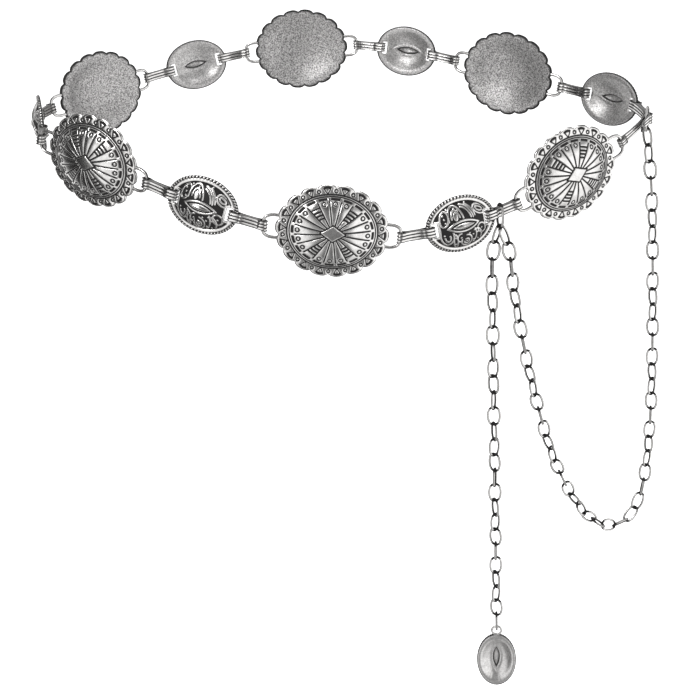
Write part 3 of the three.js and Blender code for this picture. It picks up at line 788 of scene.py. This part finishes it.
def large_mesh():
    build = Build()
    build.add(*two_sided(
        LARGE_WIDE, LARGE_HIGH, LARGE_RIM, scalloped_outline, large_rise,
        LARGE_ZONES, LARGE_BACK_ZONES, large_front, plain_back, LARGE_GRAIN,
    ))
    for sign in (1, -1):
        root = LARGE_WIDE / 2 - LOOP_ROOT
        x0, x1, x2 = (sign * v for v in (root, LOOP_REACH - LOOP_CORNER[0], LOOP_REACH))
        corner = LOOP_HALF_HIGH - LOOP_CORNER[1]
        path = [
            (x0, 0, -LOOP_HALF_HIGH), (x1, 0, -LOOP_HALF_HIGH), (x2, 0, -corner),
            (x2, 0, corner), (x1, 0, LOOP_HALF_HIGH), (x0, 0, LOOP_HALF_HIGH),
        ]
        bent = rounded(path, 3)
        points, faces = tube(bent, LOOP_WIRE, LOOP_SIDES, (0, 1, 0))
        # Painted shade on both edges of the loop wire.
        build.add(points, faces, edge_shade(len(bent), LOOP_SIDES, 0.8, 0.8), 0.1)
    return build.mesh("large_concho")


def two_sided(wide, high, rim, outline, rise, zones, back_zones, front, back, grained):
    """A plate whose two sides have rings of their own and share the outer one."""
    f_points, f_faces, f_ink, f_side, f_rim = half_plate(
        wide, high, rim, outline, rise, zones, front, False, 0, 0.0,
    )
    start = len(f_points)
    b_points, b_faces, b_ink, b_side, b_rim = half_plate(
        wide, high, rim, outline, rise, back_zones, back, True, start, grained,
    )
    (f, n), (b, _) = f_rim, b_rim
    wall = [(f + k, b + k, b + (k + 1) % n, f + (k + 1) % n) for k in range(n)]
    return (
        np.concatenate([f_points, b_points]), f_faces + b_faces + wall,
        np.concatenate([f_ink, b_ink]), np.concatenate([f_side, b_side]),
    )


def half_plate(wide, high, rim, outline, rise, zones, relief, is_back, start, grained):
    """One side of a plate: points, faces, oxidised darks with painted shade, grain and its outermost ring.
    """
    rings = []
    inner = 0.0
    for outer, steps, number in zones:
        rings += [(inner + (outer - inner) * (k + 1) / number, steps) for k in range(number)]
        inner = outer
    points = [np.zeros((1, 2))]
    starts = []
    count = 1
    for share, steps in rings:
        a = 2 * math.pi * np.arange(steps) / steps
        grow = share * (1 - (1 - outline(a)) * smooth(FLANGE, 1, share))
        points.append(np.stack([wide / 2 * grow * np.cos(a), high / 2 * grow * np.sin(a)], 1))
        starts.append((start + count, steps))
        count += steps
    flat = np.concatenate(points)
    share = np.concatenate([[0.0]] + [np.full(n, s) for s, n in rings])
    height, ink = relief(flat[:, 0], flat[:, 1])
    edge = 0.32 * smooth(0.975, 1, share)
    if is_back:
        # Painted shade: a dark outline round the rim of the inner side.
        ink = np.maximum(ink, 0.8 * smooth(0.925, 0.975, share))
        y = rim / 2 - rise(share) - edge + height
    else:
        y = -rim / 2 - rise(share) + edge - height
    first, n = starts[0]
    faces = [(start, first + k, first + (k + 1) % n) for k in range(n)]
    if is_back:
        faces = [f[::-1] for f in faces]
    for (a0, na), (b0, nb) in zip(starts[:-1], starts[1:]):
        faces += stitch(a0, na, b0, nb, is_back)
    points = np.stack([flat[:, 0], y, flat[:, 1]], 1)
    return points, faces, ink, np.full(len(flat), grained), starts[-1]


def cut_slots(mesh):
    """Cuts the two slots through."""
    piece = bpy.data.objects.new("slot_work", mesh)
    bpy.context.scene.collection.objects.link(piece)
    tool_mesh = bpy.data.meshes.new("slot_tool")
    bm = bmesh.new()
    for sign in (1, -1):
        middle = sign * (SLOT_INNER + SLOT_OUTER) / 2
        block = Matrix.Translation((middle * MM, -2 * MM, 0)) @ Matrix.Diagonal((
            (SLOT_OUTER - SLOT_INNER) * MM, 14 * MM, 2 * SLOT_HALF_HIGH * MM, 1,
        ))
        bmesh.ops.create_cube(bm, size=1.0, matrix=block)
    bm.to_mesh(tool_mesh)
    bm.free()
    tool = bpy.data.objects.new("slot_tool", tool_mesh)
    bpy.context.scene.collection.objects.link(tool)
    cut = piece.modifiers.new("cut", "BOOLEAN")
    cut.operation = "DIFFERENCE"
    cut.solver = "EXACT"
    cut.object = tool
    bpy.context.view_layer.update()
    done = bpy.data.meshes.new_from_object(piece.evaluated_get(bpy.context.evaluated_depsgraph_get()))
    bpy.data.objects.remove(piece)
    bpy.data.objects.remove(tool)
    return done


def small_mesh():
    build = Build()
    front = roped_front(SMALL_WIDE, SMALL_HIGH, True)
    build.add(*two_sided(
        SMALL_WIDE, SMALL_HIGH, SMALL_RIM, plain_outline, small_rise(SMALL_DOME),
        ROPED_ZONES, ROPED_BACK_ZONES, front, almond_back, SMALL_GRAIN,
    ))
    return cut_slots(build.mesh("small_plain"))


def drop_mesh():
    build = Build()
    front = roped_front(DROP_WIDE, DROP_HIGH, False)
    build.add(*two_sided(
        DROP_WIDE, DROP_HIGH, DROP_RIM, plain_outline, small_rise(DROP_DOME),
        ROPED_ZONES, ROPED_BACK_ZONES, front, almond_back, DROP_GRAIN,
    ))
    ring_at = DROP_WIDE / 2 + DROP_RING_RADIUS - DROP_RING_ROOT
    last = 360 - 360 / DROP_RING_STEPS
    turn = arc_points(ring_at, 0, DROP_RING_RADIUS, DROP_RING_RADIUS, 0, last, 0, DROP_RING_STEPS - 1)
    path = [(x, 0, z) for x, z in turn]
    build.add(*tube(path, DROP_RING_WIRE, LOOP_SIDES, (0, 1, 0), True), 0.1, 0.3)
    return build.mesh("drop_concho")


def loops_of(node):
    """Outline loops of a strip's two flat ends, each point paired with the one above it."""
    bm = bmesh.new()
    bm.from_mesh(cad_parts[node].data)
    bmesh.ops.remove_doubles(bm, verts=bm.verts, dist=2e-6)
    co = np.array([v.co for v in bm.verts], float)
    _, _, axes = np.linalg.svd(co - co.mean(0), full_matrices=False)
    lift = axes[1] if abs(axes[1][2]) > abs(axes[2][2]) else axes[2]
    lift = Vector(lift if lift[2] > 0 else -lift)
    middle = sum((v.co for v in bm.verts), Vector()) / len(bm.verts)
    tops = {v for v in bm.verts if (v.co - middle).dot(lift) > 0}
    following = {}
    for f in bm.faces:
        if sum(v in tops for v in f.verts) == 2:
            for loop in f.loops:
                if loop.vert in tops and loop.link_loop_next.vert in tops:
                    following[loop.vert] = loop.link_loop_next.vert
    below = {}
    for v in following:
        others = [e.other_vert(v) for e in v.link_edges if e.other_vert(v) not in tops]
        below[v] = min(others, key=lambda o: (o.co - v.co).normalized().dot(lift))
    loops = []
    left = set(following)
    while left:
        start = left.pop()
        chain = [start]
        while following[chain[-1]] in left:
            chain.append(following[chain[-1]])
            left.discard(chain[-1])
        loops.append([
            (np.array(v.co, float) / MM, np.array(below[v].co, float) / MM) for v in chain
        ])
    bm.free()
    loops.sort(key=lambda c: -len(c))
    return loops


def face_outward(mesh, weld=0.0):
    """Joins points closer than weld, and turns all faces outward."""
    bm = bmesh.new()
    bm.from_mesh(mesh)
    if weld:
        bmesh.ops.remove_doubles(bm, verts=bm.verts, dist=weld)
    bmesh.ops.recalc_face_normals(bm, faces=bm.faces)
    bm.to_mesh(mesh)
    bm.free()


def ribbed_strip(node):
    """The strip again with three round ribs: its outline swept from edge to edge."""
    build = Build()
    rims = []
    for number, loop in enumerate(loops_of(node)):
        is_outer = number == 0
        top = np.array(rounded([t for t, _ in loop], 2, True))
        low = np.array(rounded([b for _, b in loop], 2, True))
        n = len(top)
        lift = (top - low).mean(0)
        lift /= np.linalg.norm(lift)
        tangent = np.roll(top, -1, 0) - np.roll(top, 1, 0)
        outward = np.cross(tangent, lift)
        outward /= np.linalg.norm(outward, axis=1)[:, None]
        rows, inks, faces = [], [], []
        for k in range(RIB_STEPS + 1):
            s = k / RIB_STEPS
            groove = (1 - abs(math.sin(RIBS * math.pi * s))) ** 2 if is_outer else 0.0
            rows.append(low + (top - low) * s - outward * GROOVE_DEEP * groove)
            at_edge = k in (0, RIB_STEPS)
            # Dark in the grooves between ribs: oxide with painted shade, less at the two edges; inner
            # outlines dark all over.
            dark = float(smooth(0.12, 0.45, np.array(groove))) * (0.45 if at_edge else 1.0)
            inks.append(np.full(n, dark if is_outer else 0.8))
        for k in range(RIB_STEPS):
            a, b = k * n, (k + 1) * n
            faces += [(a + i, a + (i + 1) % n, b + (i + 1) % n, b + i) for i in range(n)]
        rims.append((build.count, n, rows[0], rows[-1]))
        build.add(np.concatenate(rows), faces, np.concatenate(inks), 0.0)
    for rim_end, offset in ((2, 0), (3, RIB_STEPS)):
        outlines = [[Vector(p) for p in rim[rim_end]] for rim in rims]
        index = [rim[0] + offset * rim[1] + i for rim in rims for i in range(rim[1])]
        for a, b, c in tessellate_polygon(outlines):
            build.faces.append((index[a], index[b], index[c]))
    mesh = build.mesh(node + "_ribs")
    face_outward(mesh, 1e-7)
    return mesh


# Chain routes, the same points as the solids have.
DRAPE_ROUTE = (
    (79.9, -55.6, -51), (82.7, -50.6, -73.5), (88.6, -46.8, -106.5), (96, -42, -139),
    (104.5, -36.5, -169), (115, -29.5, -194), (126, -22.5, -211.5), (137.5, -15, -220.5),
    (148.5, -8, -219.7), (154.8, -4.3, -208), (158, -2, -187), (158.8, -1.4, -158),
    (157.9, -1.8, -122), (155.8, -3.4, -80), (152.6, -5.6, -35),
)
TAIL_ROUTE = ((72.7, -53, -54), (72.7, -54.2, -90), (73.8, -55.2, -170), (75.2, -55.5, -275))


def centripetal(points):
    """A centripetal Catmull-Rom curve through the points, as a function of 0 to 1."""
    p = [np.array(q, float) for q in points]
    p = [2 * p[0] - p[1]] + p + [2 * p[-1] - p[-2]]
    spans = len(points) - 1

    def at(t):
        place = min(max(t, 0.0), 1.0) * spans
        i = min(int(place), spans - 1)
        w = place - i
        a, b, c, d = p[i:i + 4]
        t0, t1, t2 = (max(np.linalg.norm(v - u), 1e-9) ** 0.5 for u, v in ((a, b), (b, c), (c, d)))
        m1 = ((b - a) / t0 - (c - a) / (t0 + t1) + (c - b) / t1) * t1
        m2 = ((c - b) / t1 - (d - b) / (t1 + t2) + (d - c) / t2) * t1
        return b + m1 * w + (3 * (c - b) - 2 * m1 - m2) * w**2 + (2 * (b - c) + m1 + m2) * w**3

    return at


def march(curve, start, step, count):
    """Places along a curve, each one step away from the last."""
    joints = [np.array(start, float)]
    t = 0.0
    for _ in range(count):
        low, high = t, t
        while high < 1 and np.linalg.norm(curve(high) - joints[-1]) < step:
            high = min(high + 0.01, 1.0)
        for _ in range(30):
            middle = (low + high) / 2
            if np.linalg.norm(curve(middle) - joints[-1]) < step:
                low = middle
            else:
                high = middle
        t = high
        joints.append(curve(t))
    return joints


def link_shape(centre, axis, broad, long, wide, wire):
    """Path of one oval link and the direction square to it."""
    r = (wide - wire) / 2
    tip = (long - wire) / 2
    path = []
    for k in range(2 * LINK_TURNS):
        a = math.pi * (k + 0.5) / LINK_TURNS
        across = r * math.copysign(abs(math.cos(a)) ** LINK_SQUARE, math.cos(a))
        up = tip * math.copysign(abs(math.sin(a)) ** LINK_SQUARE, math.sin(a))
        path.append(centre + across * broad + up * axis)
    return path, np.cross(axis, broad)


def edge_shade(steps, sides, one, other):
    """Painted shade on the two edges of a bent wire, one amount for each edge."""
    facing = np.cos(2 * math.pi * np.arange(sides) / sides)
    return np.tile(one * smooth(0.55, 0.95, facing) + other * smooth(0.55, 0.95, -facing), steps)


def add_link(build, centre, axis, broad, long):
    """One link of round wire, black where its neighbours touch it."""
    path, side = link_shape(centre, axis, broad, long, LINK_WIDE, WIRE)
    points, faces = tube(path, WIRE_SEEN / 2, LINK_SIDES, side, True)
    from_middle = np.abs((points - centre) @ axis) / (long / 2)
    ends = 0.9 * smooth(0.62, 0.86, from_middle)
    # Black where neighbours touch, and painted shade on both edges of the wire.
    build.add(points, faces, np.maximum(ends, edge_shade(len(path), LINK_SIDES, 0.7, 0.4)), 0.1)


def add_links(build, joints, long, roll, step):
    """A link between each two joints, each turned one step further."""
    facing = np.array([0.0, -1.0, 0.0])
    for k, (a, b) in enumerate(zip(joints[:-1], joints[1:])):
        axis = (b - a) / np.linalg.norm(b - a)
        across = np.cross(facing, axis)
        across /= np.linalg.norm(across)
        toward = np.cross(axis, across)
        turn = math.radians(roll + step * (k - 1))
        add_link(build, (a + b) / 2, axis, across * math.cos(turn) + toward * math.sin(turn), long)


UP = np.array((0.0, 0.0, 1.0))


def on_concho(node, back, along):
    """A place on a concho's long axis, in millimetres."""
    return np.array(frame_of(node, back) @ Vector((along * MM, 0, 0)), float) / MM


def chain_start(long):
    """Band link's centre and facing, and where both chains leave its foot, for that link length."""
    first = on_concho("concho_small_1", SMALL_BACK, SMALL_HINGE)
    axis = on_concho("concho_large_2", LARGE_BACK, -LOOP_REACH) - first
    axis /= np.linalg.norm(axis)
    out = np.array((axis[1], -axis[0], 0.0)) / math.hypot(axis[0], axis[1])
    band_long = long + BAND_EXTRA
    rise = STRIP_HALF_HIGH + BAND_LIFT - (band_long / 2 - WIRE)
    centre = first + BAND_OFFSET * axis + rise * UP
    foot = centre - ((band_long - WIRE) / 2 - LINK_CROSS / 2) * UP
    drape_top = foot + JOINT_SPREAD * out
    tail_top = foot - JOINT_SPREAD * out + (CONTACT + CLEARANCE) * UP
    return centre, out, drape_top, tail_top


def drape_joints(long, end):
    _, _, top, _ = chain_start(long)
    curve = centripetal([top, *DRAPE_ROUTE, end])
    return march(curve, top, long - WIRE - LINK_CROSS, DRAPE_LINKS)


def link_length(end):
    """The length that lets the drape's links just reach the end ring."""
    short, long = (share * LINK_WIDE for share in LINK_LONG_RANGE)
    for _ in range(LENGTH_TRIES):
        middle = (short + long) / 2
        if np.linalg.norm(drape_joints(middle, end)[-1] - end) > REACHED:
            short = middle
        else:
            long = middle
    return middle


def ring_box():
    return [np.array(corner, float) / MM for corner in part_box("clasp_ring")]


def chains(material):
    """Both hanging chains, from the band link round the strip."""
    ring_low, ring_high = ring_box()
    end = (ring_low + ring_high) / 2
    end[2] = ring_low[2] + 2 * RING_WIRE + CLEARANCE + CONTACT / 2 + SLACK
    long = link_length(end)
    centre, out, _, tail_top = chain_start(long)
    drape = Build()
    add_link(drape, centre, UP, out, long + BAND_EXTRA)
    add_links(drape, drape_joints(long, end), long, FIRST_ROLL, DRAPE_ROLL)
    tail = Build()
    joints = march(centripetal([tail_top, *TAIL_ROUTE]), tail_top, long - WIRE - LINK_CROSS, TAIL_LINKS)
    add_links(tail, joints, long, FIRST_ROLL, TAIL_ROLL)
    for name, build, node in (("drape_links", drape, "drape_chain"), ("tail_links", tail, "tail_chain")):
        show(name, build.mesh(name), Matrix(), "belt", [node], material)


def clasp_places():
    """Start of the hook, middle of the end ring and the level direction across it."""
    start = on_concho("concho_large_2", LARGE_BACK, LOOP_REACH)
    beyond = on_concho("concho_small_2", SMALL_BACK, -SMALL_HINGE)
    along = (beyond - start) * (1, 1, 0)
    low, high = ring_box()
    return start, (low + high) / 2, along / np.linalg.norm(along)


def end_ring(material):
    build = Build()
    _, middle, along = clasp_places()
    path, side = link_shape(middle, UP, along, RING_LONG, RING_WIDE, 2 * RING_WIRE)
    points, faces = tube(path, RING_WIRE, LINK_SIDES, side, True)
    # Painted shade on both edges of the ring wire.
    build.add(points, faces, edge_shade(len(path), LINK_SIDES, 0.6, 0.3), 0.1)
    show("end_ring", build.mesh("end_ring"), Matrix(), "belt", ["clasp_ring"], material)


def hook_path(reach):
    """Side view of the hook: folded round the loop, along to the ring, round it and back."""
    bend = RING_WIRE + CLEARANCE + SLACK + HOOK_THICK / 2
    path = [(2.7, 0.5), (1.6, 1.2)]
    path += arc_points(0, 0, FOLD_RADIUS, FOLD_RADIUS, 75, 285, 0, 10)
    path += [(1.6, -1.2), (2.9, -0.45), (reach - 3.2, -0.3), (reach - 1.2, 0.1 - bend)]
    path += arc_points(reach, 0, bend, bend, -60, 100, 0, 8)
    path += [(reach - 3.85, bend - 0.2), (reach - 7, bend + 1.6)]
    return np.array(rounded(path, 2))


def hook(material):
    """Three-ribbed strip bent to the hook's side view."""
    start, middle, along = clasp_places()
    near = middle - (RING_WIDE / 2 - RING_WIRE) * along
    reach = np.linalg.norm(near - start)
    axis = (near - start) / reach
    turned = frame_of("concho_large_2", LARGE_BACK).col[2].to_3d()
    lift = np.array(turned) - np.dot(turned, axis) * axis
    lift /= np.linalg.norm(lift)
    out = np.cross(axis, lift)
    path = hook_path(reach)
    ways = np.linspace(0, 1, RIB_STEPS + 1)
    ribs = np.abs(np.sin(RIBS * math.pi * ways))
    half = 0.55 * HOOK_THICK - HOOK_GROOVE_DEEP * (1 - ribs) ** 2
    # Dark in the grooves between ribs: oxide with painted shade, less at the two edges.
    dark = smooth(0.12, 0.45, (1 - ribs) ** 2) * np.where((ways > 0) & (ways < 1), 1, 0.45)
    tangent = np.gradient(path, axis=0)
    tangent /= np.linalg.norm(tangent, axis=1)[:, None]
    rows = []
    for (u, v), (tu, tv) in zip(path, tangent):
        share = smooth(2.5, 7.0, np.array(u))
        up = lift * (1 - share) + UP * share
        high = HOOK_HALF_HIGH * (1 - 0.2 * smooth(reach - 1, reach - 6, u) * (v > 0.5))
        spine = start + u * axis + v * out
        normal = -tv * axis + tu * out
        for side in (1, -1):
            for w, t in list(zip(ways, half))[::side]:
                rows.append(spine + (2 * w - 1) * high * up + side * t * normal)
    ring = 2 * (RIB_STEPS + 1)
    count = len(path)
    faces = [
        (a * ring + k, a * ring + (k + 1) % ring, (a + 1) * ring + (k + 1) % ring, (a + 1) * ring + k)
        for a in range(count - 1) for k in range(ring)
    ]
    faces += [tuple(range(ring))[::-1], tuple((count - 1) * ring + k for k in range(ring))]
    build = Build()
    build.add(rows, faces, np.tile(np.concatenate([dark, dark[::-1]]), count))
    mesh = build.mesh("hook")
    face_outward(mesh)
    show("hook", mesh, Matrix(), "belt", ["clasp_hook"], material)


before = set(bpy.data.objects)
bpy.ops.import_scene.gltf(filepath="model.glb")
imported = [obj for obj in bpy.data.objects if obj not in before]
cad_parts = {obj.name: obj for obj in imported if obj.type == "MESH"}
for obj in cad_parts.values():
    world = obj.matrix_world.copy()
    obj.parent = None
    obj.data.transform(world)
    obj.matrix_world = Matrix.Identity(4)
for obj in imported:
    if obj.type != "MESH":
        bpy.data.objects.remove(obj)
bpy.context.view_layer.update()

cast = antique_silver("cast_antique_silver", (0.88, 0.87, 0.86), (0.6, 0.59, 0.58), 0.16)
drawn = antique_silver("drawn_antique_silver", (0.84, 0.83, 0.82), (0.55, 0.54, 0.53), 0.18)

large = large_mesh()
small = small_mesh()
for number in range(1, 7):
    node = f"concho_large_{number}"
    show(f"large_concho_{number}", large, frame_of(node, LARGE_BACK), "belt", [node], cast)
    node = f"concho_small_{number}"
    show(f"small_concho_{number}", small, frame_of(node, SMALL_BACK), "belt", [node], cast)
show("drop", drop_mesh(), frame_of("drop_concho", DROP_BACK), "drop", ["drop_concho"], cast)
for number in range(1, 13):
    node = f"connector_{number}"
    show(f"ribbed_strip_{number}", ribbed_strip(node), Matrix(), "belt", [node], cast)
chains(drawn)
end_ring(drawn)
hook(cast)

studio()
camera()
